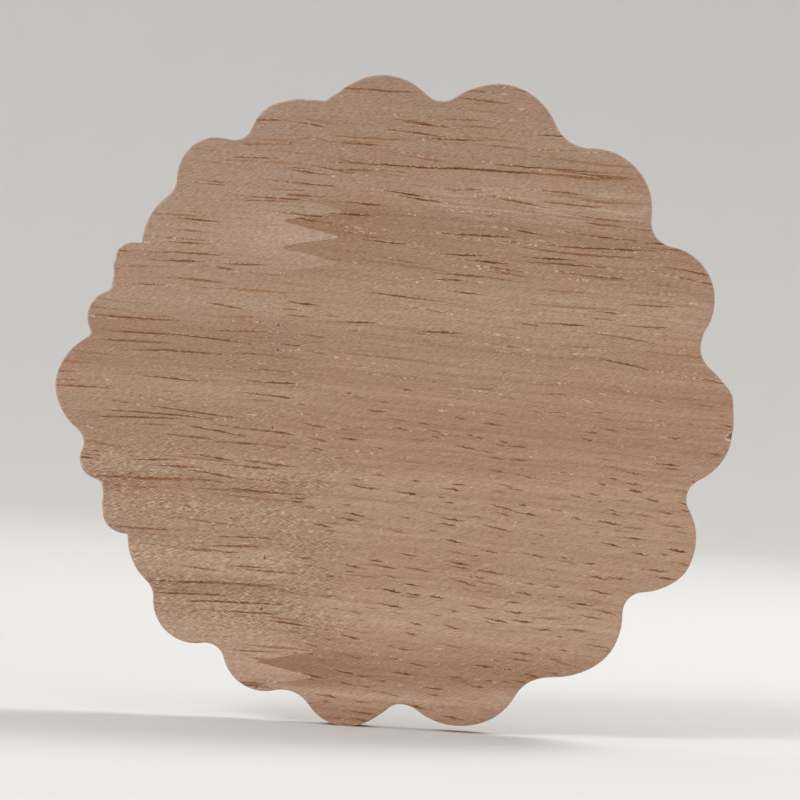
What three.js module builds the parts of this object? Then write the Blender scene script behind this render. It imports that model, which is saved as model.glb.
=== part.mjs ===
// A round carved wood applique: a bloom of three rings of petals round a beaded button, with an acanthus
// leaf showing from under it at one end. It is carved from one blank, is flat behind, and is made to be
// fixed by that flat back.
//
// The back lies in the plane Y = 0 and faces -Y, the carving faces +Y and the grain runs along X. The
// leaf's tip points to -X. The origin is the middle of the back.
import * as THREE from "three";
import { mergeVertices } from "three/addons/utils/BufferGeometryUtils.js";

// Driving dimensions, in millimetres.
const span = 100; // along the grain, from the leaf's tip to the petal opposite
const thickness = 15; // from the flat back to the top of the button
const edgeHeight = 5.4; // the sawn edge, at the tip of a petal
const wallDraft = 0.3; // how far the wall under a petal's tip leans outwards

// The lobes of the outline, from the petal opposite the leaf's tip round towards +Z. `at` is the angle of
// the lobe's tip and `root` the angle at which its midline comes out from under the middle petals, both
// in degrees. The rest are shares of half the span: how far the tip reaches, the radius of its round, and
// the radius of the hollow between it and the next lobe.
const lobes = [
  { at: -0.6, root: 0, reach: 1.002, round: 0.202, hollow: 0.089 },
  { at: 24.4, root: 22.5, reach: 1.0, round: 0.154, hollow: 0.075 },
  { at: 47.7, root: 45, reach: 0.99, round: 0.178, hollow: 0.115 },
  { at: 71.7, root: 67.5, reach: 0.993, round: 0.191, hollow: 0.067 },
  { at: 96.4, root: 90, reach: 0.962, round: 0.184, hollow: 0.133 },
  { at: 114.7, root: 112.5, reach: 0.946, round: 0.137, hollow: 0.055 },
  { at: 132.1, root: 135, reach: 0.96, round: 0.12, hollow: 0.073 },
  { at: 144.3, root: 157.5, reach: 0.906, round: 0.193, hollow: 0.004, leaf: true },
  { at: 155.7, root: 165, reach: 0.93, round: 0.063, hollow: 0.07, leaf: true },
  { at: 166.9, root: 172.5, reach: 0.941, round: 0.083, hollow: 0.019, leaf: true },
  { at: 180.6, root: 180, reach: 0.998, round: 0.159, hollow: 0.05, leaf: true },
  { at: 194.7, root: 187.5, reach: 0.945, round: 0.061, hollow: 0.052, leaf: true },
  { at: 205.3, root: 195, reach: 0.927, round: 0.077, hollow: 0.004, leaf: true },
  { at: 216.9, root: 202.5, reach: 0.908, round: 0.175, hollow: 0.066, leaf: true },
  { at: 228.7, root: 225, reach: 0.957, round: 0.127, hollow: 0.057 },
  { at: 246.0, root: 247.5, reach: 0.95, round: 0.127, hollow: 0.098 },
  { at: 264.0, root: 270, reach: 0.972, round: 0.136, hollow: 0.08 },
  { at: 287.6, root: 292.5, reach: 0.983, round: 0.195, hollow: 0.118 },
  { at: 311.2, root: 315, reach: 0.979, round: 0.189, hollow: 0.064 },
  { at: 334.5, root: 337.5, reach: 0.994, round: 0.163, hollow: 0.064 },
];

// The rings of petals. Radii are shares of half the span, and heights are shares of the thickness. A ring
// rises from its `foot`, where it comes out from under the ring inside it, to its `crest`, which lies
// `crestAt` of the way to the tip. `dish` is the hollow along the middle of a petal, `seam` the cut between
// two petals, and `steps` the places along a petal where the surface has a row of corners.
const innerRing = {
  petals: 16,
  firstSeam: 11.25,
  tip: 0.45,
  notch: 0.4,
  foot: 0.64,
  crest: 0.83,
  edge: 0.8,
  crestAt: 0.8,
  dish: 0.045,
  seam: 0.09,
  steps: [0.35, 0.7, 1],
};
const middleRing = {
  petals: 16,
  firstSeam: 0,
  tip: 0.69,
  notch: 0.62,
  foot: 0.5,
  crest: 0.68,
  edge: 0.65,
  crestAt: 0.8,
  dish: 0.055,
  seam: 0.11,
  steps: [0.3, 0.6, 0.85, 1],
};
const outerRing = {
  foot: 0.33,
  crest: 0.49,
  crestAt: 0.7,
  dish: 0.065,
  seam: 0.12,
  steps: [0.2, 0.45, 0.7, 0.88, 1],
};

// How a petal is cut. The dish takes up `dishWidth` of the petal's width and is deepest nearer the foot,
// the more so the smaller `dishSkew`. A seam has `seamAtFoot` of its depth at the foot. The last three are
// powers: of the seam's slope, of the lip's drop to the edge and of the round of a tip.
const petalCut = { dishWidth: 0.8, dishSkew: 0.7, seamAtFoot: 0.4, seamSlope: 4, lipDrop: 2, tipRound: 3 };

// The vein along the middle of each lobe of the leaf. `height` is a share of the thickness, `slope` is the
// power of its sides, `fade` is how much of it is gone at the tip, and `sunk` is how much of its height the
// lobe is lowered by at the foot, so that the vein doesn't stand above the petals.
const leafVein = { height: 0.07, slope: 1.5, fade: 0.7, sunk: 0.5 };

// The button and the beads round it, in the same shares.
const button = { radius: 0.16, foot: 0.7, steps: [0.35, 0.7, 1], edgeAngle: 85 };
const beads = {
  count: 16,
  radius: 0.205,
  halfWidth: 0.036,
  foot: 0.66,
  rise: 0.13,
  parting: 0.9, // how far the beads are cut apart from each other, 1 being down to their foot
  steps: [-0.6, 0, 0.6, 1],
};

const columnsPerLobe = 8;
const halfSpan = span / 2;
const toRadians = THREE.MathUtils.degToRad;
const toDegrees = THREE.MathUtils.radToDeg;
const lerp = THREE.MathUtils.lerp;
const modulo = THREE.MathUtils.euclideanModulo;

// The circle of a lobe's round. Points of the outline hold X and Z.
function lobeCircle(lobe) {
  const radius = lobe.round * halfSpan;
  const reach = lobe.reach * halfSpan - radius;
  const angle = toRadians(lobe.at);
  return { centre: new THREE.Vector2(Math.cos(angle), Math.sin(angle)).multiplyScalar(reach), radius };
}

// The circle of a hollow, which touches the rounds on both sides of it from outside.
function hollowCircle(round, nextRound, radius) {
  const between = nextRound.centre.clone().sub(round.centre);
  const grown = round.radius + radius;
  const nextGrown = nextRound.radius + radius;
  const along = (grown ** 2 - nextGrown ** 2 + between.lengthSq()) / (2 * between.length());
  const aside = Math.sqrt(Math.max(0, grown ** 2 - along ** 2));
  const unit = between.normalize();
  const centre = round.centre
    .clone()
    .addScaledVector(unit, along)
    .addScaledVector(new THREE.Vector2(unit.y, -unit.x), aside);
  return { centre, radius };
}

// The angle, in degrees, at which two circles that touch from outside meet.
function touchAngle(circle, other) {
  const point = circle.centre.clone().lerp(other.centre, circle.radius / (circle.radius + other.radius));
  return toDegrees(point.angle());
}

const rounds = lobes.map(lobeCircle);
const hollows = lobes.map((lobe, i) => {
  return hollowCircle(rounds[i], rounds[(i + 1) % lobes.length], lobe.hollow * halfSpan);
});

// Where a ray from the origin crosses a circle: its far side on a lobe, its near side on a hollow.
function crossing(circle, angle, side) {
  const turned = toRadians(angle) - circle.centre.angle();
  const along = circle.centre.length() * Math.cos(turned);
  const across = circle.centre.length() * Math.sin(turned);
  return along + side * Math.sqrt(Math.max(0, circle.radius ** 2 - across ** 2));
}

// The outline's distance from the origin at an angle within lobe i, between the seams on its two sides.
function outlineReach(i, angle) {
  const before = (i + lobes.length - 1) % lobes.length;
  const after = (i + 1) % lobes.length;
  const past = (from) => modulo(angle - from + 180, 360) - 180;
  if (past(touchAngle(rounds[i], hollows[before])) < 0) return crossing(hollows[before], angle, -1);
  if (past(touchAngle(rounds[i], hollows[i])) > 0) return crossing(hollows[i], angle, -1);
  return crossing(rounds[i], angle, 1);
}

// The seam after lobe i: the middle of the hollow on the outline, and midway between the two roots.
function seamAfter(i) {
  const next = lobes[(i + 1) % lobes.length];
  const fromTip = modulo(toDegrees(hollows[i].centre.angle()) - lobes[i].at, 360);
  const fromRoot = modulo(next.root - lobes[i].root, 360) / 2;
  return { at: lobes[i].at + fromTip, root: lobes[i].root + fromRoot };
}

// The columns of the carved surface. Each runs from the button to the outline, and `across` is its place
// on its lobe, from -1 at the seam before the lobe to 1 at the seam after it.
const columns = lobes.flatMap((lobe, i) => {
  const before = (i + lobes.length - 1) % lobes.length;
  const turn = i === 0 ? -360 : 0;
  const start = seamAfter(before);
  const end = seamAfter(i);
  return Array.from({ length: columnsPerLobe }, (_, k) => {
    const across = (2 * k) / columnsPerLobe - 1;
    const seam = across < 0 ? { at: start.at + turn, root: start.root + turn } : end;
    const at = lerp(lobe.at, seam.at, Math.abs(across));
    const root = lerp(lobe.root, seam.root, Math.abs(across));
    return { at, root, across, leaf: Boolean(lobe.leaf), reach: outlineReach(i, at) };
  });
});

// Where an angle lies across a petal of a ring of equal petals, from -1 to 1.
function acrossPetal(ring, angle) {
  const width = 360 / ring.petals;
  return (2 * modulo(angle - ring.firstSeam, width)) / width - 1;
}

// The edge of a ring of equal petals: round tips with a notch at each seam.
function petalReach(ring, angle) {
  return halfSpan * lerp(ring.tip, ring.notch, Math.abs(acrossPetal(ring, angle)) ** petalCut.tipRound);
}

// The height of a petal, `along` it from foot to tip and `across` it. `edge` is its height at the tip.
function petalHeight(ring, edge, along, across) {
  const rising = Math.sin(Math.min(1, along / ring.crestAt) * (Math.PI / 2));
  const lip = Math.max(0, along - ring.crestAt) / (1 - ring.crestAt);
  const spine = lerp(ring.foot, ring.crest, rising) * thickness;
  const dishAlong = Math.sin(Math.PI * along ** petalCut.dishSkew);
  const dish = ring.dish * dishAlong * Math.max(0, 1 - (across / petalCut.dishWidth) ** 2);
  const seam = ring.seam * lerp(petalCut.seamAtFoot, 1, along) * Math.abs(across) ** petalCut.seamSlope;
  return lerp(spine, edge, lip ** petalCut.lipDrop) - (dish + seam) * thickness;
}

// A leaf lobe has a raised vein along its middle instead of a dish.
function leafHeight(edge, along, across) {
  const flat = petalHeight({ ...outerRing, dish: 0 }, edge, along, across);
  const vein = (1 - Math.abs(across)) ** leafVein.slope * (1 - leafVein.fade * along ** 2);
  return flat + (vein - leafVein.sunk * (1 - along)) * leafVein.height * thickness;
}

// The rows of the surface, from the top of the button to the middle of the back. Each row gives, for a
// column, the angle, the distance from the middle and the height.
const top = () => ({ angle: 0, radius: 0, height: thickness });
const backMiddle = () => ({ angle: 0, radius: 0, height: 0 });
const backEdge = (column) => ({ angle: column.at, radius: column.reach, height: 0 });

function buttonRow(step) {
  const slope = toRadians(button.edgeAngle) * step;
  const radius = (button.radius * halfSpan * Math.sin(slope)) / Math.sin(toRadians(button.edgeAngle));
  const drop = (1 - Math.cos(slope)) / (1 - Math.cos(toRadians(button.edgeAngle)));
  return (column) => ({
    angle: column.root,
    radius,
    height: lerp(1, button.foot, drop) * thickness,
  });
}

function beadRow(step) {
  return (column) => {
    const across = acrossPetal({ petals: beads.count, firstSeam: 0 }, column.root);
    const ball = Math.sqrt(Math.max(0, 1 - step ** 2)) * Math.sqrt(1 - beads.parting * across ** 2);
    return {
      angle: column.root,
      radius: (beads.radius + beads.halfWidth * step) * halfSpan,
      height: (beads.foot + beads.rise * ball) * thickness,
    };
  };
}

function ringRow(ring, innerReach, step) {
  return (column) => ({
    angle: column.root,
    radius: lerp(innerReach(column), petalReach(ring, column.root), step),
    height: petalHeight(ring, ring.edge * thickness, step, acrossPetal(ring, column.root)),
  });
}

function outerRow(step) {
  return (column) => {
    const inner = petalReach(middleRing, column.root) + wallDraft;
    const surface = column.leaf ? leafHeight : (...place) => petalHeight(outerRing, ...place);
    return {
      angle: lerp(column.root, column.at, step),
      radius: lerp(inner, column.reach, step),
      height: surface(edgeHeight, step, column.across),
    };
  };
}

const beadsOuterReach = () => (beads.radius + beads.halfWidth) * halfSpan;
const innerRingReach = (column) => petalReach(innerRing, column.root) + wallDraft;
const rows = [
  top,
  ...button.steps.map(buttonRow),
  ...beads.steps.map(beadRow),
  ...innerRing.steps.map((step) => ringRow(innerRing, beadsOuterReach, step)),
  ...[0, ...middleRing.steps].map((step) => ringRow(middleRing, innerRingReach, step)),
  ...[0, ...outerRing.steps].map(outerRow),
  backEdge,
  backMiddle,
];

// The solid is a lathe turning of the rows whose corners are then moved to their carved places.
function carvedApplique() {
  const section = rows.map((row) => {
    const { radius, height } = row(columns[0]);
    return new THREE.Vector2(radius, height);
  });
  const turned = new THREE.LatheGeometry(section, columns.length);
  const position = turned.getAttribute("position");
  for (let i = 0; i <= columns.length; i++) {
    const column = columns[i % columns.length];
    rows.forEach((row, j) => {
      const { angle, radius, height } = row(column);
      const x = radius * Math.cos(toRadians(angle));
      const z = radius * Math.sin(toRadians(angle));
      position.setXYZ(i * rows.length + j, x, height, z);
    });
  }
  turned.deleteAttribute("normal");
  turned.deleteAttribute("uv");
  const solid = mergeVertices(turned);
  solid.computeVertexNormals();
  return solid;
}

const bareWood = new THREE.MeshStandardMaterial({ color: 0xa5846e, roughness: 0.75, metalness: 0 });

const applique = new THREE.Mesh(carvedApplique(), bareWood);
applique.name = "carved_applique";

const part = new THREE.Group();
part.add(applique);

export default part;
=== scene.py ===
from math import pi, radians, sin

import bpy
import numpy as np
from mathutils import Matrix, Vector


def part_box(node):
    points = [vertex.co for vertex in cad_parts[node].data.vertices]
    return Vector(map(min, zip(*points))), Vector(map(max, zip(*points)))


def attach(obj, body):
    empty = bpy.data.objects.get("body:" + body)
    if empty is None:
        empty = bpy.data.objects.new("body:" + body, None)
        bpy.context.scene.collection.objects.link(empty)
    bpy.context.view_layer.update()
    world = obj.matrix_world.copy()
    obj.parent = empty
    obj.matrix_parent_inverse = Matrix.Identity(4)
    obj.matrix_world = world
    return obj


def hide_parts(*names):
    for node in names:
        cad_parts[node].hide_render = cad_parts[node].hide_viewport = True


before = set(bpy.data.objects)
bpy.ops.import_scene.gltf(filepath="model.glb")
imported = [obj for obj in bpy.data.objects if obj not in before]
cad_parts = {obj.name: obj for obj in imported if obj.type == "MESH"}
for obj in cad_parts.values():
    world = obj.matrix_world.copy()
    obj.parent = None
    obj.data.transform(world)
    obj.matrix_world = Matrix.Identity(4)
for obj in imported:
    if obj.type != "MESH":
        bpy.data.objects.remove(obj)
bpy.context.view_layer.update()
low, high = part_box("carved_applique")
mm = 0.001
span = (high.x - low.x) / mm  # along the grain
thickness = (high.y - low.y) / mm
halfSpan = span / 2
print("frame: %.1f x %.1f x %.1f mm" % (span, thickness, (high.z - low.z) / mm))


# camera
view = {
    "distance": 0.65,  # metres from the flat back
    "shown": 117.9,  # millimetres of the back's plane that the square picture takes in
    "roll": 3.5,  # degrees; the grain runs down to the right
    "middle": (0.81, 0.12),  # X and Z of the middle of the picture, mm
    "sensor": 36,  # millimetres wide
    "nearest": 0.01,
}


def makeCamera():
    data = bpy.data.cameras.new("camera")
    camera = bpy.data.objects.new("camera", data)
    bpy.context.scene.collection.objects.link(camera)
    data.sensor_width = view["sensor"]
    data.lens = view["sensor"] * view["distance"] / (view["shown"] * mm)
    data.clip_start = view["nearest"]
    x, z = view["middle"]
    turn = Matrix.Rotation(radians(90), 4, "X") @ Matrix.Rotation(radians(view["roll"]), 4, "Z")
    camera.matrix_world = Matrix.Translation((x * mm, -view["distance"], z * mm)) @ turn
    bpy.context.scene.camera = camera


makeCamera()
print("camera made")


# the outline and the three rings, the same as in the solid; shares of the half span and of the thickness
lobes = [
    {"at": -0.6, "root": 0, "reach": 1.002, "round": 0.202, "hollow": 0.089, "columns": 88},
    {"at": 24.4, "root": 22.5, "reach": 1.0, "round": 0.154, "hollow": 0.075},
    {"at": 47.7, "root": 45, "reach": 0.99, "round": 0.178, "hollow": 0.115},
    {"at": 71.7, "root": 67.5, "reach": 0.993, "round": 0.191, "hollow": 0.067},
    {"at": 96.4, "root": 90, "reach": 0.962, "round": 0.184, "hollow": 0.133},
    {"at": 114.7, "root": 112.5, "reach": 0.946, "round": 0.137, "hollow": 0.055},
    {"at": 132.1, "root": 135, "reach": 0.96, "round": 0.12, "hollow": 0.073},
    {"at": 144.3, "root": 157.5, "reach": 0.906, "round": 0.193, "hollow": 0.004, "leaf": 1},
    {"at": 155.7, "root": 165, "reach": 0.93, "round": 0.063, "hollow": 0.07, "leaf": 1},
    {"at": 166.9, "root": 172.5, "reach": 0.941, "round": 0.083, "hollow": 0.019, "leaf": 1},
    {"at": 180.6, "root": 180, "reach": 0.998, "round": 0.159, "hollow": 0.05, "leaf": 1},
    {"at": 194.7, "root": 187.5, "reach": 0.945, "round": 0.061, "hollow": 0.052, "leaf": 1},
    {"at": 205.3, "root": 195, "reach": 0.927, "round": 0.077, "hollow": 0.004, "leaf": 1},
    {"at": 216.9, "root": 202.5, "reach": 0.908, "round": 0.175, "hollow": 0.066, "leaf": 1},
    {"at": 228.7, "root": 225, "reach": 0.957, "round": 0.127, "hollow": 0.057},
    {"at": 246.0, "root": 247.5, "reach": 0.95, "round": 0.127, "hollow": 0.098},
    {"at": 264.0, "root": 270, "reach": 0.972, "round": 0.136, "hollow": 0.08},
    {"at": 287.6, "root": 292.5, "reach": 0.983, "round": 0.195, "hollow": 0.118},
    {"at": 311.2, "root": 315, "reach": 0.979, "round": 0.189, "hollow": 0.064},
    {"at": 334.5, "root": 337.5, "reach": 0.994, "round": 0.163, "hollow": 0.064},
]
carving = {
    "seed": 11,
    "petalColumns": 36,
    "leafColumns": 20,
    "gather": 0.4,  # how much the columns close up towards the seams
    "wallDraft": 0.3,  # mm
    "wallFoot": 0.55,  # how far down a ring's wall reaches, as a share
    "edgeHeight": 5.4,  # mm
    "innerRing": {"petals": 16, "firstSeam": 11.25, "tip": 0.45, "notch": 0.4, "foot": 0.64, "crest": 0.83,
                  "edge": 0.8, "crestAt": 0.8, "dish": 0.045, "seam": 0.09, "rows": 22, "arris": 0.3},
    "middleRing": {"petals": 16, "firstSeam": 0, "tip": 0.69, "notch": 0.62, "foot": 0.5, "crest": 0.68,
                   "edge": 0.65, "crestAt": 0.8, "dish": 0.055, "seam": 0.11, "rows": 24, "arris": 0.35},
    "outerRing": {"foot": 0.33, "crest": 0.49, "crestAt": 0.7, "dish": 0.065, "seam": 0.12, "rows": 30,
                  "arris": 0.5},
    "dishWidth": 0.8,
    "dishSkew": 0.7,
    "seamAtFoot": 0.4,
    "seamSlope": 4,
    "lipDrop": 2,
    "tipRound": 3,
    "leafVein": {"height": 0.07, "slope": 1.5, "fade": 0.7, "sunk": 0.5},
    "vee": {"depth": 0.35, "width": 0.09},  # the knife's cut along a seam, mm and share of a half petal
    "flutes": {"at": (-0.5, -0.25, 0, 0.25, 0.5), "depth": 0.22, "width": 0.07, "start": 0.1, "until": 0.85,
               "runOut": 0.3},
    "margin": {"at": 0.74, "width": 0.12, "height": 0.16},  # the raised border of a petal
    "handwork": {"lift": 0.1, "dish": 0.25, "shift": 0.07, "reach": 0.2},  # how petals differ
}
button = {"radius": 0.16, "foot": 0.7, "edgeAngle": 85, "rows": 36, "seeds": 56, "seedWidth": 0.46,
          "seedDepth": 0.45, "seedsUntil": 0.93}
beads = {"count": 16, "radius": 0.205, "halfWidth": 0.036, "foot": 0.66, "rise": 0.13, "parting": 0.96,
         "rows": 16}
backFace = {
    "arris": 0.3,  # mm
    "wallRows": (0.8, 0.6, 0.4, 0.25, 0.15, 0.08),  # shares of the wall's height
    "rows": (1, 0.995, 0.99, 0.985, 0.978, 0.97),  # shares of the reach; fewer columns towards the middle
    "sparse": (0.95, 0.9, 0.83, 0.75, 0.66),
    "sparser": (0.55, 0.42, 0.28, 0.14),
}
chip = {
    "at": (49.9, -2.25),  # X and Z, mm
    "size": (1.3, 0.8),
    "depth": 1.2,
    "ragged": 0.2,
    "rise": 0.6,
    "bite": 0.3,
    "tip": (48.75, -2.55),  # the point of the V that it shows on the back
    "lean": 0.235,
    "spread": 0.615,
}
# where the saw strayed from the arcs: angle, how far out, mm, and half width, degrees
handSlips = ((4.5, 0.45, 2), (16, 0.29, 3), (78.5, -0.25, 3), (101, -0.16, 4.5), (106.5, -0.33, 1),
             (113.5, -0.23, 2), (137, -0.18, 4.5), (156.5, -0.31, 1), (162, -0.42, 1), (180.5, 0.17, 3),
             (199, -0.33, 1), (204, -0.26, 1.5), (271.5, 0.35, 1), (291, 0.19, 4.5), (302, 0.21, 3),
             (314, 0.22, 4.5), (332.5, 0.24, 3), (352.5, 0.37, 4.5))
luck = np.random.default_rng(carving["seed"])


def lerp(a, b, share):
    return a + (b - a) * share


def wrap(degrees):
    return (degrees + 180) % 360 - 180


def bell(x):
    return np.exp(-x * x)


class Outline:  # circles as complex numbers, X + iZ, mm
    def __init__(self):
        at, reach, rounds, hollow = [np.array([lobe[k] for lobe in lobes], float)
                                     for k in ("at", "reach", "round", "hollow")]
        self.radius = rounds * halfSpan
        self.centre = (reach * halfSpan - self.radius) * np.exp(1j * np.radians(at))
        self.hollow = hollow * halfSpan
        nextCentre = np.roll(self.centre, -1)
        nextRadius = np.roll(self.radius, -1)
        between = nextCentre - self.centre
        unit = between / abs(between)
        grown = self.radius + self.hollow
        along = (grown ** 2 - (nextRadius + self.hollow) ** 2 + abs(between) ** 2) / (2 * abs(between))
        aside = np.sqrt(np.maximum(0, grown ** 2 - along ** 2))
        self.hollowCentre = self.centre + along * unit - 1j * aside * unit
        touch = self.centre + (self.hollowCentre - self.centre) * self.radius / grown
        touchNext = nextCentre + (self.hollowCentre - nextCentre) * nextRadius / (nextRadius + self.hollow)
        self.leaves = np.degrees(np.angle(touch))
        self.meets = np.degrees(np.angle(np.roll(touchNext, 1)))
        self.seam = np.degrees(np.angle(self.hollowCentre))

    def crossing(self, centre, radius, angle, side):
        turned = np.radians(angle) - np.angle(centre)
        aside = abs(centre) * np.sin(turned)
        return abs(centre) * np.cos(turned) + side * np.sqrt(np.maximum(0, radius ** 2 - aside ** 2))

    def reach(self, i, angle):
        before = (i - 1) % len(lobes)
        reach = self.crossing(self.centre[i], self.radius[i], angle, 1)
        early = self.crossing(self.hollowCentre[before], self.hollow[before], angle, -1)
        late = self.crossing(self.hollowCentre[i], self.hollow[i], angle, -1)
        reach = np.where(wrap(angle - self.meets[i]) < 0, early, reach)
        return np.where(wrap(angle - self.leaves[i]) > 0, late, reach)


class Columns:  # where each line of the surface runs, from the button out to the outline
    def __init__(self, outline):
        at, root, across, reach, leaf, lobeOf = [], [], [], [], [], []
        for i, lobe in enumerate(lobes):
            isLeaf = bool(lobe.get("leaf"))
            count = lobe.get("columns", carving["leafColumns" if isLeaf else "petalColumns"])
            t = np.linspace(-1, 1, count, endpoint=False)
            place = lerp(t, np.sin(t * pi / 2), carving["gather"])
            previous = lobes[i - 1]
            following = lobes[(i + 1) % len(lobes)]
            seamBefore = lobe["at"] + wrap(outline.seam[i - 1] - lobe["at"])
            seamAfter = lobe["at"] + wrap(outline.seam[i] - lobe["at"])
            rootBefore = lobe["root"] + wrap(previous["root"] - lobe["root"]) / 2
            rootAfter = lobe["root"] + wrap(following["root"] - lobe["root"]) / 2
            angle = lerp(lobe["at"], np.where(place < 0, seamBefore, seamAfter), abs(place))
            at.append(angle)
            root.append(lerp(lobe["root"], np.where(place < 0, rootBefore, rootAfter), abs(place)))
            across.append(place)
            slips = sum(size * bell(wrap(angle - middle) / width) for middle, size, width in handSlips)
            reach.append(outline.reach(i, angle) + slips)
            leaf.append(np.full(count, isLeaf))
            lobeOf.append(np.full(count, i))
        self.at, self.root, self.across, self.reach, self.leaf, self.lobeOf = [
            np.concatenate(part) for part in (at, root, across, reach, leaf, lobeOf)]
        self.count = len(self.at)


def handDifferences(count):
    work = carving["handwork"]
    return {
        "lift": luck.uniform(-1, 1, count) * work["lift"],
        "dish": 1 + luck.uniform(-1, 1, count) * work["dish"],
        "shift": luck.uniform(-1, 1, count) * work["shift"],
        "reach": luck.uniform(-1, 1, count) * work["reach"],
    }


def acrossPetal(ring, angle):
    width = 360 / ring["petals"]
    turned = (angle - ring["firstSeam"]) / width
    return 2 * (turned % 1) - 1, np.floor(turned).astype(int) % ring["petals"]


def petalReach(ring, angle):
    across, petal = acrossPetal(ring, angle)
    reach = halfSpan * lerp(ring["tip"], ring["notch"], abs(across) ** carving["tipRound"])
    return reach + ring["hand"]["reach"][petal] * (1 - abs(across) ** 2)


def petalHeight(ring, hand, edge, along, across):
    crestAt = ring["crestAt"]
    rising = np.sin(np.minimum(1, along / crestAt) * (pi / 2))
    lip = np.maximum(0, along - crestAt) / (1 - crestAt)
    spine = lerp(ring["foot"], ring["crest"], rising) * thickness + hand["lift"] * along
    middle = across - hand["shift"] * along
    dishAlong = sin(pi * along ** carving["dishSkew"])
    dish = ring["dish"] * hand["dish"] * dishAlong * np.maximum(0, 1 - (middle / carving["dishWidth"]) ** 2)
    seam = ring["seam"] * lerp(carving["seamAtFoot"], 1, along) * abs(across) ** carving["seamSlope"]
    height = lerp(spine, edge + hand["lift"] * along, lip ** carving["lipDrop"]) - (dish + seam) * thickness
    margin, flutes, vee = carving["margin"], carving["flutes"], carving["vee"]
    height = height + margin["height"] * bell((abs(across) - margin["at"]) / margin["width"]) * dishAlong
    fade = np.clip((flutes["until"] - along) / flutes["runOut"], 0, 1) * min(1, along / flutes["start"])
    for place in flutes["at"]:
        height = height - flutes["depth"] * fade * bell((middle - place) / flutes["width"])
    return height - vee["depth"] * np.maximum(0, 1 - (1 - abs(across)) / vee["width"])


def leafHeight(hand, edge, along, across):
    vein = carving["leafVein"]
    plain = dict(carving["outerRing"], dish=0)
    flat = petalHeight(plain, hand, edge, along, across)
    rise = (1 - abs(across)) ** vein["slope"] * (1 - vein["fade"] * along ** 2)
    return flat + (rise - vein["sunk"] * (1 - along)) * vein["height"] * thickness


class Surface:  # rows of points from the top of the button to the middle of the back
    def __init__(self):
        self.points, self.faces, self.last = [], [], None
        self.total = 0

    def addRow(self, angle, radius, height, stride=1):
        spread = np.broadcast_arrays(angle, radius, height)
        angle, radius, height = [part[::stride] for part in spread]
        turned = np.radians(angle)
        row = np.stack([radius * np.cos(turned), height, radius * np.sin(turned)], axis=1)
        first = self.total
        self.points.append(row)
        self.total += len(row)
        if self.last:
            self.join(*self.last, first, len(row))
        self.last = (first, len(row))

    def join(self, a, countA, b, countB):  # rows of the same count, or one with twice the other's
        k = np.arange(min(countA, countB))
        if countA == countB:
            n = (k + 1) % countA
            self.faces += np.stack([a + k, a + n, b + n, b + k], axis=1).tolist()
            return
        n = (k + 1) % len(k)
        two = 2 * k
        far = (two + 2) % max(countA, countB)
        if countA > countB:
            odd = a + two + 1
            trios = ((a + two, odd, b + k), (odd, a + far, b + n), (odd, b + n, b + k))
        else:
            odd = b + two + 1
            trios = ((a + k, odd, b + two), (a + k, a + n, odd), (a + n, b + far, odd))
        for trio in trios:
            self.faces += np.stack(trio, axis=1).tolist()

    def cap(self, height, outward):
        first, count = self.last if outward < 0 else (0, len(self.points[0]))
        tip = self.total
        self.points.append(np.array([[0, height, 0]]))
        self.total += 1
        k = np.arange(count)
        n = (k + 1) % count
        ends = (first + k, first + n) if outward < 0 else (first + n, first + k)
        self.faces += np.stack([*ends, np.full(count, tip)], axis=1).tolist()


def seedDents(angle, radius):
    kind = button
    k = np.arange(kind["seeds"]) + 0.5
    out = kind["seedsUntil"] * kind["radius"] * halfSpan * np.sqrt(k / kind["seeds"])
    turn = k * pi * (3 - 5 ** 0.5)
    here = (radius * np.exp(1j * np.radians(angle)))[:, None]
    near = abs(here - (out * np.exp(1j * turn))[None, :]).min(axis=1)
    return kind["seedDepth"] * bell(near / kind["seedWidth"])


def carveButton(surface, columns):
    edge = radians(button["edgeAngle"])
    for step in np.linspace(0, 1, button["rows"] + 1)[1:]:
        radius = np.full(columns.count, button["radius"] * halfSpan * sin(edge * step) / sin(edge))
        drop = (1 - np.cos(edge * step)) / (1 - np.cos(edge))
        height = lerp(1, button["foot"], drop) * thickness - seedDents(columns.root, radius)
        surface.addRow(columns.root, radius, height, 2)


def carveBeads(surface, columns):
    across, _ = acrossPetal({"petals": beads["count"], "firstSeam": 0}, columns.root)
    for step in np.linspace(-1, 1, beads["rows"] + 1):
        ball = np.sqrt(np.maximum(0, 1 - step ** 2 - beads["parting"] * across ** 2))
        radius = (beads["radius"] + beads["halfWidth"] * step) * halfSpan
        surface.addRow(columns.root, radius, (beads["foot"] + beads["rise"] * ball) * thickness, 2)


def roundOver(surface, angle, reach, height, arris):
    for turn in np.radians((22.5, 45, 67.5, 90)):
        surface.addRow(angle, reach - arris * (1 - np.sin(turn)), height - arris * (1 - np.cos(turn)))


def carveRing(surface, columns, ring, inner):
    across, petal = acrossPetal(ring, columns.root)
    hand = {key: ring["hand"][key][petal] for key in ring["hand"]}
    reach = petalReach(ring, columns.root)
    for along in np.linspace(0, 1, ring["rows"]):
        height = petalHeight(ring, hand, ring["edge"] * thickness, along, across)
        surface.addRow(columns.root, lerp(inner, reach - ring["arris"], along), height)
    roundOver(surface, columns.root, reach, height, ring["arris"])
    foot = lerp(height, ring["footAround"], carving["wallFoot"])
    surface.addRow(columns.root, reach + carving["wallDraft"] / 2, foot)


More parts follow.
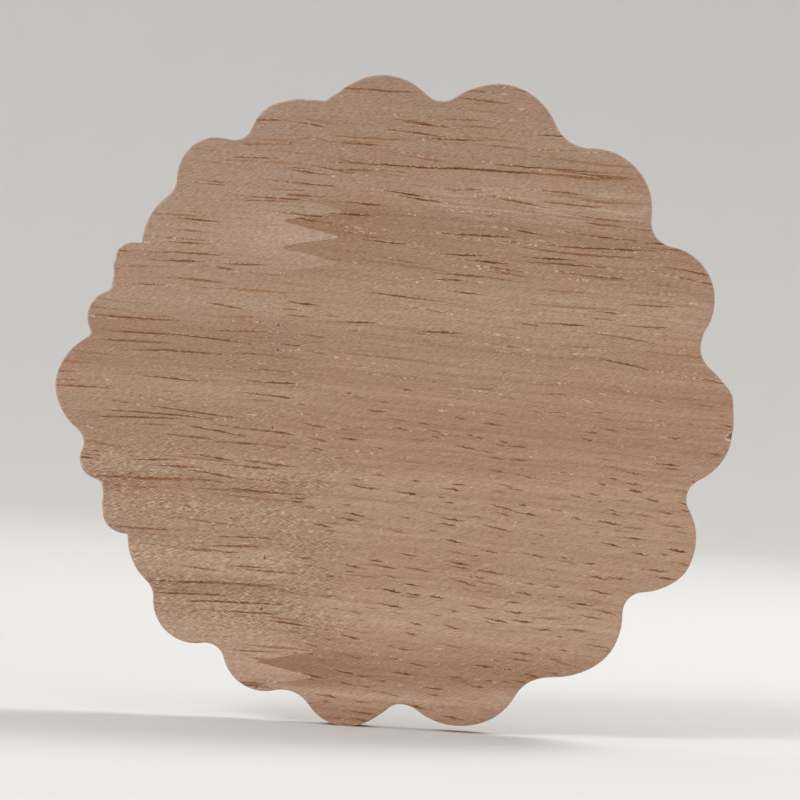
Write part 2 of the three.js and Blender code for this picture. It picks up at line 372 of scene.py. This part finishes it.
def carveOuterRing(surface, columns, inner):
    ring = carving["outerRing"]
    across = columns.across
    hand = {key: ring["hand"][key][columns.lobeOf] for key in ring["hand"]}
    edge = carving["edgeHeight"]
    for along in np.linspace(0, 1, ring["rows"]):
        petal = petalHeight(ring, hand, edge, along, across)
        height = np.where(columns.leaf, leafHeight(hand, edge, along, across), petal)
        angle = lerp(columns.root, columns.at, along)
        surface.addRow(angle, lerp(inner, columns.reach - ring["arris"], along), height)
    roundOver(surface, columns.at, columns.reach, height, ring["arris"])
    return height - ring["arris"]


def splinter(angle, radius, height):  # how far a point near the chip is pulled in, as a share
    here = radius * np.exp(1j * np.radians(angle))
    x = (here.real - chip["at"][0]) / chip["size"][0]
    z = (here.imag - chip["at"][1]) / chip["size"][1]
    torn = chip["ragged"] * np.sin(here.imag * 9 + here.real * 2)
    return np.clip(1 - x * x - z * z + torn, 0, 1) * np.clip(1 - height / chip["depth"], 0, 1)


def cutEdge(surface, columns, top):
    arris = backFace["arris"]

    def addChipped(inset, height, stride=1, share=1):
        radius = (columns.reach - inset) * share
        torn = splinter(columns.at, radius, height)
        surface.addRow(columns.at, radius - torn * chip["bite"], height + torn * chip["rise"], stride)

    for share in backFace["wallRows"]:
        addChipped(0, lerp(arris, top, share))
    for turn in np.radians((0, 22.5, 45, 67.5)):
        addChipped(arris * (1 - np.cos(turn)), arris * (1 - np.sin(turn)))
    for share in backFace["rows"]:
        addChipped(arris, 0, 1, share)
    for share in backFace["sparse"]:
        addChipped(arris, 0, 2, share)
    for share in backFace["sparser"]:
        addChipped(arris, 0, 4, share)


def carveApplique():
    columns = Columns(Outline())
    for key in ("innerRing", "middleRing"):
        carving[key]["hand"] = handDifferences(carving[key]["petals"])
    carving["outerRing"]["hand"] = handDifferences(len(lobes))
    inner, middle, outer = carving["innerRing"], carving["middleRing"], carving["outerRing"]
    inner["footAround"] = middle["foot"] * thickness
    middle["footAround"] = outer["foot"] * thickness
    surface = Surface()
    carveButton(surface, columns)
    carveBeads(surface, columns)
    carveRing(surface, columns, inner, (beads["radius"] + beads["halfWidth"]) * halfSpan)
    carveRing(surface, columns, middle, petalReach(inner, columns.root) + carving["wallDraft"])
    top = carveOuterRing(surface, columns, petalReach(middle, columns.root) + carving["wallDraft"])
    cutEdge(surface, columns, top)
    surface.cap(0, -1)
    surface.cap(thickness, 1)
    mesh = bpy.data.meshes.new("bare_wood_applique")
    mesh.from_pydata((np.concatenate(surface.points) * mm).tolist(), [], surface.faces)
    mesh.validate()
    mesh.shade_smooth()
    piece = bpy.data.objects.new("bare_wood_applique", mesh)
    bpy.context.scene.collection.objects.link(piece)
    triangles = sum(len(face) - 2 for face in surface.faces)
    print("applique carved: %d columns, %d triangles" % (columns.count, triangles))
    return piece


applique = carveApplique()


class Wire:  # an output socket, with arithmetic; a sum of two wires is a Math node
    def __init__(self, tree, socket=None):
        self.tree, self.socket = tree, socket

    def node(self, kind, settings=None, sockets=None, out=0):
        made = self.tree.nodes.new(kind)
        for name, value in (settings or {}).items():
            if name == "stops":
                self.setStops(made.color_ramp, value)
            else:
                setattr(made, name, value)
        for name, value in (sockets or {}).items():
            if isinstance(value, Wire):
                self.tree.links.new(value.socket, made.inputs[name])
            else:
                made.inputs[name].default_value = value
        return Wire(self.tree, made.outputs[out] if made.outputs else None)

    def other(self, k):  # another output of the same node
        return Wire(self.tree, self.socket.node.outputs[k])

    def setStops(self, ramp, stops):
        while len(ramp.elements) < len(stops):
            ramp.elements.new(1)
        for element, (position, colour) in zip(ramp.elements, stops):
            element.position = position
            element.color = (*colour, 1) if isinstance(colour, tuple) else (colour, colour, colour, 1)

    def math(self, operation, *others):
        return self.node("ShaderNodeMath", {"operation": operation}, dict(enumerate((self, *others))))

    def __add__(self, other):
        return self.math("ADD", other)

    def __sub__(self, other):
        return self.math("SUBTRACT", other)

    def __rsub__(self, other):
        return self * -1 + other

    def __mul__(self, other):
        return self.math("MULTIPLY", other)

    def __truediv__(self, other):
        return self.math("DIVIDE", other)

    def __rtruediv__(self, other):
        return self.math("POWER", -1) * other

    __radd__ = __add__
    __rmul__ = __mul__

    def step(self, start, end):  # 0 at start, 1 at end, eased; start may be the higher
        sockets = {"Value": self, "From Min": start, "From Max": end}
        return self.node("ShaderNodeMapRange", {"interpolation_type": "SMOOTHSTEP"}, sockets)

    def near(self, middle, width):  # 1 in the middle, 0 a width away
        return (self - middle).math("ABSOLUTE").step(width, 0)

    def lerp(self, other, share):
        return self + (other - self) * share

    def vector(self, operation, other=(0, 0, 0), out=0):
        return self.node("ShaderNodeVectorMath", {"operation": operation}, {0: self, 1: other}, out)

    def parts(self):
        x = self.node("ShaderNodeSeparateXYZ", {}, {0: self})
        return x, x.other(1), x.other(2)

    def joined(self, y, z):
        return self.node("ShaderNodeCombineXYZ", {}, {0: self, 1: y, 2: z})

    def turned(self, degrees):  # about Y, which tips the pattern up to the right on the back
        sockets = {0: self, 3: radians(degrees)}
        return self.node("ShaderNodeVectorRotate", {"rotation_type": "Y_AXIS"}, sockets)

    def noise(self, stretch, detail=2, roughness=0.5):  # the lengths of the pattern, mm
        place = self.vector("DIVIDE", stretch)
        sockets = {"Vector": place, "Scale": 1, "Detail": detail, "Roughness": roughness}
        return self.node("ShaderNodeTexNoise", {"normalize": True}, sockets) - 0.5

    def mixed(self, colour, factor):
        other = colour if isinstance(colour, Wire) else (*colour, 1)
        return self.node("ShaderNodeMix", {"data_type": "RGBA"}, {0: factor, 6: self, 7: other}, 2)

    def shaded(self, shade, green=1, blue=1):  # above 1, the dark parts are redder and the pale ones greyer
        return self.vector("MULTIPLY", shade.joined((shade - 1) * green + 1, (shade - 1) * blue + 1))


wood = {
    "joint": {
        "tips": -17.7,  # X of the right board's finger ends, mm
        "roots": -9.8,
        "pitch": 3.825,
        "firstTip": 36.95,  # Z
        "blunt": 0.08,  # share of a finger that is cut off at its end
        "wander": 0.5,
        "crisp": 0.06,
        "clearAt": ((23.6, 8), (-40, 4.5)),  # where the fingers show: Z and half width
        "blur": 7,  # elsewhere the two boards blend over this half width
        "shownTo": 18,
        "paler": 0.2,  # the left board's fingers
        "darker": 0.35,  # the right board's
        "gap": 0.28,
        "gapRim": 0.15,
    },
    "grain": {
        "bend": 1.6,  # how far the fibres stray, mm
        "slope": 0.03,
        "moreOnRight": 0.02,
        "boardsApart": 140,  # so that the two boards don't match
        "drift": 3,  # how far the bands stray, mm
        "streak": 3,
        "contrast": 0.3,
        "greyLeft": 0.3,
        "greyAbove": ((-10, 45), 0.45),  # from and to this Z, and how much
        "fade": 0.001,  # painted shade and light: darker for each mm up and lighter for each mm down, and as much again round the middle
        "fadeWidth": 30,
        "threads": 0.3,
        "veilEnd": (-8, 12),  # X over which the pale streaks run out
    },
    # the patterns' lengths along the grain, into the wood and across it, mm; then detail and roughness
    "patterns": {
        "wander": ((2, 9, 0.6), 2, 0.5),
        "bend": ((22, 40, 7), 1, 0.5),
        "drift": ((45, 30, 5), 1, 0.5),
        "swell": ((30, 20, 6), 1, 0.5),
        "streak": ((34, 6, 0.8), 3, 0.65),
        "thread": ((7, 0.7, 0.2), 2, 0.55),
        "veil": ((9, 2, 0.4), 2, 0.6),
        "crowd": ((16, 7, 4), 1, 0.5),
        "jag": ((0.55, 0.3, 0.6), 2, 0.6),
        "gaps": ((1.3, 0.4, 0.5), 2, 0.6),
        "fibre": ((0.6, 0.2, 0.13), 1, 0.6),
        "nap": ((1.2, 0.5, 0.18), 2, 0.5),
        "backNap": ((1, 0.5, 0.22), 1, 0.5),
        "scratch": ((7, 2, 0.15), 1, 0.5),
    },
    "leans": {"nap": 26, "backNap": -20, "scratch": 24},  # degrees up to the right
    # tones of the grain bands at heights across the back, -1 dark and pink, 1 pale and grey
    "leftBands": ((-44, 0.6), (-35.5, 1.8), (-33, 0.8), (-31.5, 1), (-29.3, -0.6), (-27, 1.2), (-24.5, 1.9),
                  (-22.5, 0), (-17.5, 1), (-14.3, -0.4), (-11.5, 1), (-8, -0.3), (-2.2, -0.2), (0, 0.4),
                  (3, -0.9), (9.5, -1), (12.5, 0.6), (15, 0.2), (19.3, -0.2), (21.5, 0.9), (24, 0.5),
                  (28, 0.2), (36, -0.4)),
    "rightBands": ((-46, -0.3), (-43.2, 1.5), (-41.5, -0.6), (-38.5, -0.5), (-36, 0.1), (-33, 0.9),
                   (-25, 0.2), (-16, 0.6), (-9, 0.1), (-3, -0.3), (1, 0.1), (3, -0.5), (5, 0.1), (8, -0.3),
                   (11.5, 0.3), (16, 0.3), (20, -0.3), (24.5, -0.8), (27.2, -1.2), (30, 0.3), (33, -0.2),
                   (35, -0.4), (38, 0), (44, -0.2)),
    "bandEnds": (-50, 50),
    "veils": ((29.5, 5, 0.4), (14.5, 3.5, 0.2)),  # pale streaks on the right: Z, half width and strength
    "dark": (0.26, 0.126, 0.071),
    "mid": (0.366, 0.224, 0.147),
    "pale": (0.47, 0.321, 0.222),
    "greyer": (0.355, 0.25, 0.185),
    # pores: the cell that holds one, and its half length, depth and thickness, mm
    "shortPores": {"seed": 3, "cell": (5.4, 0.8, 1.05), "half": (3.2, 0.3, 0.155), "slope": 0.06, "jag": 0.5},
    "longPores": {"seed": 8, "cell": (15, 0.8, 0.8), "half": (11, 0.3, 0.17), "slope": 0, "jag": 0.35},
    "poreShape": {"scatter": 0.9, "tilt": 0.16, "tail": 0.6, "shortest": 0.3, "broken": 1.3},
    "shortBelow": (14, -6),  # Z over which the right board's pores turn from long to short
    "poreFade": {"short": 1.2, "long": 0.7},  # how far each kind is held back outside its own part
    # the longest dark lines on the back: the middle's X, half the length, Z and thickness
    "lines": ((12, 26, 34.6, 0.22), (21, 10, 35.5, 0.15), (-33.5, 11, -13.6, 0.32), (-37.5, 6, -15, 0.16),
              (-26, 10, -28.4, 0.24), (-28, 6, -30.2, 0.18), (-21.5, 7, -31.2, 0.18), (29, 10, 24.2, 0.2),
              (-38.5, 7, 9.8, 0.18), (-38, 6.5, 7.7, 0.16), (-39, 6, 6.4, 0.18), (-13.2, 2.4, 26.4, 0.15),
              (-9.5, 2.2, 24.3, 0.16)),
    "poreEdge": (0.245, 0.095, 0.038),
    "poreCore": (0.115, 0.034, 0.012),
    "ochre": (0.33, 0.163, 0.072),
    "fibre": (0.64, 0.462, 0.382),
    # where the fuzz starts and is full, mm
    "fuzz": {"top": (-5, -14), "bottom": (-39, -34), "rightEnd": (-4, -16), "wave": 30, "depth": (1, 0.2)},
    # how much light and dark the fine fibres have, and how much more of it green and blue take
    "fineShade": {"fibre": 0.85, "nap": 0.6, "scratch": 0.4, "tuft": 0.2, "fuzz": 1.4, "green": 1.25,
                  "blue": 1.5},
    "endGrain": 0.25,  # how much darker the cut ends are
    "relief": {"groove": -0.04, "core": -0.03, "gap": -0.1, "fibre": 0.05, "tuft": 0.05, "fuzz": 0.2,
               "glint": 0.03},  # mm
    "roughness": 0.62,
    "gloss": 0.2,
}


def bandTone(height, bands):
    first, last = wood["bandEnds"]
    stops = [((at - first) / (last - first), 0.5 + tone / 4) for at, tone in bands]
    place = (height - first) / (last - first)
    return (place.node("ShaderNodeValToRGB", {"stops": stops}, {"Fac": place}) - 0.5) * 4


def pores(place, kind, jag):  # vessels that the cut opens: 1 on the middle line, 0 at the rim
    shape = wood["poreShape"]
    seed = kind["seed"]
    moved = place.vector("ADD", (seed, seed * 3, seed * 7)).vector("DIVIDE", kind["cell"])
    sockets = {"Vector": moved, "Scale": 1, "Randomness": shape["scatter"]}
    nearest = moved.node("ShaderNodeTexVoronoi", {}, sockets, 2)
    tilt, size, tint = nearest.other(1).parts()
    x, y, z = moved.vector("SUBTRACT", nearest).vector("MULTIPLY", kind["cell"]).parts()
    length, depth, width = kind["half"]
    aside = (z + x * ((tilt - 0.5) * shape["tilt"] + kind["slope"]) + jag * kind["jag"]) / width
    fromLine = aside.joined(y / depth, 0).vector("LENGTH", out=1)
    share = size * (1 - shape["shortest"]) + shape["shortest"]
    fromMiddle = x.math("MAXIMUM", x * -shape["tail"]) / share / length
    return 1 - fromMiddle - fromLine, tint


class BareWood:  # the finish, laid over the surface step by step
    def __init__(self):
        self.material = bpy.data.materials.new("bare_wood")
        self.material.use_nodes = True
        tree = self.material.node_tree
        tree.nodes.clear()
        self.place = Wire(tree).node("ShaderNodeTexCoord", out=3).vector("MULTIPLY", (1 / mm,) * 3)
        self.x, self.y, self.z = self.place.parts()
        self.joinBoards()
        self.layGrain()
        self.tintBands()
        self.openPores()
        self.tintPores()
        self.raiseFibres()
        self.wearAndHighlightEdges()
        self.openJoint()
        self.finish()

    def pattern(self, name, place):  # -0.5 to 0.5, and mostly near 0
        size, detail, roughness = wood["patterns"][name]
        if name in wood["leans"]:
            place = place.turned(wood["leans"][name])
        return place.noise(size, detail, roughness)

    def tint(self, colour, share):
        self.colour = self.colour.mixed(wood[colour], share)

    def joinBoards(self):  # left and right, and the fingers between them
        x, z, joint = self.x, self.z, wood["joint"]
        self.tooth = (z - joint["firstTip"]) / joint["pitch"]
        self.tip = (self.tooth.math("FRACT") - 0.5).math("ABSOLUTE") * 2
        blunted = (self.tip - joint["blunt"]) / (1 - 2 * joint["blunt"])
        finger = blunted.node("ShaderNodeClamp", {}, {"Value": blunted})
        straight = joint["roots"] + (joint["tips"] - joint["roots"]) * finger
        self.fromEdge = x - (straight + self.pattern("wander", self.place) * joint["wander"])
        self.right = self.fromEdge.step(-joint["crisp"], joint["crisp"])
        clear = sum(z.near(at, width) for at, width in joint["clearAt"])
        fromJoint = x - (joint["tips"] + joint["roots"]) / 2
        self.board = fromJoint.step(-joint["blur"], joint["blur"]).lerp(self.right, clear)
        self.wedge = clear * fromJoint.near(0, joint["shownTo"])

    def layGrain(self):  # each board has its own
        x, y, z, grain = self.x, self.y, self.z, wood["grain"]
        self.bend = self.pattern("bend", self.place) * grain["bend"]
        across = z + x * (grain["slope"] + self.right * grain["moreOnRight"]) + self.bend
        self.along = x.joined(y + self.right * grain["boardsApart"], across)

    def tintBands(self):
        x, z, board, grain, joint = self.x, self.z, self.board, wood["grain"], wood["joint"]
        height = z + self.pattern("drift", self.place) * grain["drift"]
        tone = bandTone(height, wood["leftBands"]).lerp(bandTone(height, wood["rightBands"]), board)
        streak = self.pattern("streak", self.along) * grain["streak"]
        self.tone = tone * (1 + self.pattern("swell", self.along)) + streak
        stops = [(0, wood["dark"]), (0.5, wood["mid"]), (1, wood["pale"])]
        place = self.tone * grain["contrast"] + 0.5
        self.colour = place.node("ShaderNodeValToRGB", {"stops": stops}, {"Fac": place})
        heights, strength = grain["greyAbove"]
        self.tint("greyer", (1 - board) * grain["greyLeft"] + z.step(*heights) * strength)
        # painted shade at the top and painted light at the bottom, stronger round the middle
        fade = x.near(0, grain["fadeWidth"]) * grain["fade"] + grain["fade"]
        self.colour = self.colour.shaded(1 - z * fade)
        self.tint("fibre", self.wedge * (1 - self.right) * joint["paler"])
        self.tint("dark", self.wedge * self.right * joint["darker"])

    def openPores(self):  # short low on the right-hand board, long above it and on the left
        x, y, z = self.x, self.y, self.z
        self.jag = self.pattern("jag", self.along)
        self.gaps = self.pattern("gaps", self.along)
        self.crowd = self.pattern("crowd", self.along)
        self.lower = z.step(*wood["shortBelow"]) * self.right
        shortDeep, shortTint = pores(self.along, wood["shortPores"], self.jag)
        longDeep, longTint = pores(self.along, wood["longPores"], self.jag)
        shortDeep = shortDeep - (1 - self.lower) * wood["poreFade"]["short"]
        longDeep = longDeep - self.lower * wood["poreFade"]["long"]
        self.poreTint = shortTint.lerp(longTint, shortDeep.math("LESS_THAN", longDeep))
        fewer = (self.crowd * 2 - self.tone * 0.15).step(-0.1, -0.7)  # in pale bands and between crowds
        deep = shortDeep.math("MAXIMUM", longDeep) - fewer
        bent = z + self.bend * 0.7 + self.jag * 0.4
        for middle, half, height, thick in wood["lines"]:
            ends = ((x - middle) / half).math("ABSOLUTE").math("POWER", 4)
            deep = deep.math("MAXIMUM", 0.7 - (bent - height).math("ABSOLUTE") / thick - ends - y * 2)
        self.deep = deep + self.gaps * wood["poreShape"]["broken"]

    def tintPores(self):
        z, deep, grain = self.z, self.deep, wood["grain"]
        thread = self.pattern("thread", self.along).step(0.02, 0.2) * grain["threads"]
        self.tint("dark", thread + deep.step(-0.9, 0) * 0.22)
        veil = self.pattern("veil", self.along).step(-0.1, 0.25) * self.x.step(*grain["veilEnd"])
        self.tint("fibre", veil * sum(z.near(at, width) * pale for at, width, pale in wood["veils"]))
        ochre = self.poreTint.step(0.74, 0.88)
        self.groove = deep.step(-0.15, 0.25)
        stained = self.colour.mixed(wood["ochre"], ochre).mixed(wood["poreEdge"], 1 - ochre)
        self.colour = self.colour.mixed(stained, self.groove * 0.9)
        hollow = deep.step(0.2, 0.6) * (1 - ochre) * self.poreTint.step(0.8, 0.3)
        self.core = hollow * (self.board * 0.4 + 0.6) * (1 - self.lower * 0.2)
        self.tint("poreCore", self.core * 0.95)

    def raiseFibres(self):  # fine ones all over, and a fuzz low on the left, in strokes both ways, with painted highlights (glints) beside the pores
        x, y, z, place, fuzz, shade = self.x, self.y, self.z, self.place, wood["fuzz"], wood["fineShade"]
        crowd = self.crowd
        self.fibre = self.pattern("fibre", self.along)
        self.nap = self.pattern("nap", place)
        self.tuft = self.nap.math("MAXIMUM", self.pattern("backNap", place))
        self.fuzzy = z.step(*fuzz["top"]) * z.step(*fuzz["bottom"]) * y.step(*fuzz["depth"])
        self.fuzzy = self.fuzzy * (x + crowd * fuzz["wave"]).step(*fuzz["rightEnd"])
        self.fuzzy = self.fuzzy * (crowd.step(0.1, -0.15) * 0.6 + 0.4)
        self.glint = self.deep.near(-0.25, 0.45) * self.jag.step(0.02, 0.12) * self.poreTint.step(0.7, 0.4)
        seam = self.fromEdge.near(0, 0.45) * crowd.step(0, 0.15)
        fine = (self.fibre * shade["fibre"] + self.nap * shade["nap"]) * (1 - self.lower * 0.25)
        scratch = self.pattern("scratch", place) * z.step(12, -12) * shade["scratch"]
        strokes = (self.tuft - 0.07) * (self.fuzzy * shade["fuzz"] + shade["tuft"])
        self.colour = self.colour.shaded(1 + fine + scratch + strokes, shade["green"], shade["blue"])
        # pale fibre curls, a pale seam, and painted highlights (the glints) beside the pores
        curlsAndGlints = self.tuft.step(0.1, 0.28) * (self.fuzzy * 1.9 + 0.15) + self.glint * 1.3 + seam * 0.6
        self.tint("fibre", curlsAndGlints * 0.55)
        endGrain = place.node("ShaderNodeTexCoord", out=1).parts()[0]
        self.colour = self.colour.shaded(1 - endGrain * endGrain * wood["endGrain"])

    def wearAndHighlightEdges(self):  # the sanded corner round the back, paler as sanded wood is and partly a painted highlight along the arris, and the chip
        y, fromTip = self.y, self.x - chip["tip"][0]
        # painted highlight along the back's arris, on top of the paler sanded wood
        sandedCornerAndHighlight = y.step(0, 0.05) * y.step(0.5, 0.25)
        self.tint("fibre", sandedCornerAndHighlight * (0.35 + self.tuft))
        aside = (self.z - chip["tip"][1] - fromTip * chip["lean"]).math("ABSOLUTE")
        torn = aside - fromTip * chip["spread"] + self.gaps * 0.8
        shallow = y.step(1.1, 0.7)
        self.tint("poreEdge", torn.step(-0.05, -0.3) * shallow * 0.55)
        self.tint("fibre", torn.near(0, 0.2) * fromTip.step(-0.15, 0.2) * shallow)

    def openJoint(self):  # gaps at the tips of some fingers, each with a painted highlight round it
        joint = wood["joint"]
        finger = (self.tooth + 0.5).math("FLOOR")
        dice = finger.node("ShaderNodeTexWhiteNoise", {"noise_dimensions": "1D"}, {"W": finger})
        loose = dice.step(0.4, 0.7)
        aside = (1 - self.tip) * joint["pitch"] / 2 + self.jag * 0.5
        fromTip = (self.x - joint["tips"]).joined(aside, 0).vector("LENGTH", out=1) + self.gaps + self.nap
        # painted highlight: a pale ring round each open gap
        self.tint("fibre", fromTip.near(joint["gap"], joint["gapRim"]) * loose * 0.4)
        self.gap = fromTip.step(joint["gap"], 0.1) * loose
        self.tint("poreCore", self.gap * 0.7)

    def finish(self):
        relief = wood["relief"]
        height = self.groove * relief["groove"] + self.core * relief["core"] + self.gap * relief["gap"]
        height = height + self.fibre * relief["fibre"] + self.glint * relief["glint"]
        height = height + self.tuft * (self.fuzzy * relief["fuzz"] + relief["tuft"])
        bump = height.node("ShaderNodeBump", {}, {"Distance": mm, "Height": height})
        rough = wood["roughness"] + self.nap * 0.1 + self.groove * 0.1
        sockets = {"Base Color": self.colour, "Roughness": rough, "Normal": bump}
        sockets["Specular IOR Level"] = wood["gloss"]
        surface = bump.node("ShaderNodeBsdfPrincipled", {}, sockets)
        surface.node("ShaderNodeOutputMaterial", {}, {"Surface": surface})


applique.data.materials.append(BareWood().material)
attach(applique, "root")
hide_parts("carved_applique")
print("wood finished")


# stage and lights
stage = {
    "flat": 1.0,  # radius of the level floor, metres
    "sweep": 0.8,
    "wall": 1.9,
    "colour": (0.74, 0.725, 0.705),
    "roughness": 0.9,
    "turns": 96,
    "sweepStep": 6,  # degrees
}
lamps = [
    {"name": "key_behind", "at": (-0.85, -1.15, 0.85), "size": 0.6, "power": 13.2},
    {"name": "fill_behind", "at": (0.8, -0.9, 0.05), "size": 0.8, "power": 1.7},
    {"name": "key_front", "at": (0.55, 0.5, 0.8), "size": 0.4, "power": 6},
    {"name": "fill_front", "at": (-0.7, 0.7, 0.5), "size": 0.8, "power": 0.8},
]
sky = {"colour": (0.95, 0.97, 1.0), "strength": 0.6}


def makeStage():
    ground = low.z
    profile = [(0, 0), (stage["flat"] / 2, 0), (stage["flat"], 0)]
    for turn in np.radians(np.arange(stage["sweepStep"], 91, stage["sweepStep"])):
        profile.append((stage["flat"] + stage["sweep"] * np.sin(turn), stage["sweep"] * (1 - np.cos(turn))))
    profile.append((stage["flat"] + stage["sweep"], stage["wall"]))
    angles = np.arange(stage["turns"]) * 2 * pi / stage["turns"]
    points = [(r * np.cos(a), r * np.sin(a), ground + h) for r, h in profile for a in angles]
    n = stage["turns"]
    faces = [(j * n + k, j * n + (k + 1) % n, (j + 1) * n + (k + 1) % n, (j + 1) * n + k)
             for j in range(len(profile) - 1) for k in range(n)]
    mesh = bpy.data.meshes.new("floor")
    mesh.from_pydata(points, [], faces)
    mesh.flip_normals()
    mesh.shade_smooth()
    floor = bpy.data.objects.new("floor", mesh)
    bpy.context.scene.collection.objects.link(floor)
    plain = bpy.data.materials.new("plain_pale")
    plain.use_nodes = True
    shader = plain.node_tree.nodes["Principled BSDF"]
    shader.inputs["Base Color"].default_value = (*stage["colour"], 1)
    shader.inputs["Roughness"].default_value = stage["roughness"]
    mesh.materials.append(plain)


def makeLamps():
    for lamp in lamps:
        data = bpy.data.lights.new(lamp["name"], "AREA")
        data.size = lamp["size"]
        data.energy = lamp["power"]
        made = bpy.data.objects.new(lamp["name"], data)
        made.location = lamp["at"]
        made.rotation_euler = (-Vector(lamp["at"])).to_track_quat("-Z", "Y").to_euler()
        made.visible_camera = False
        bpy.context.scene.collection.objects.link(made)
    world = bpy.data.worlds.new("soft_daylight")
    world.use_nodes = True
    world.node_tree.nodes["Background"].inputs["Color"].default_value = (*sky["colour"], 1)
    world.node_tree.nodes["Background"].inputs["Strength"].default_value = sky["strength"]
    bpy.context.scene.world = world
    bpy.context.scene.view_settings.view_transform = "Standard"


makeStage()
makeLamps()
print("stage and lights made")
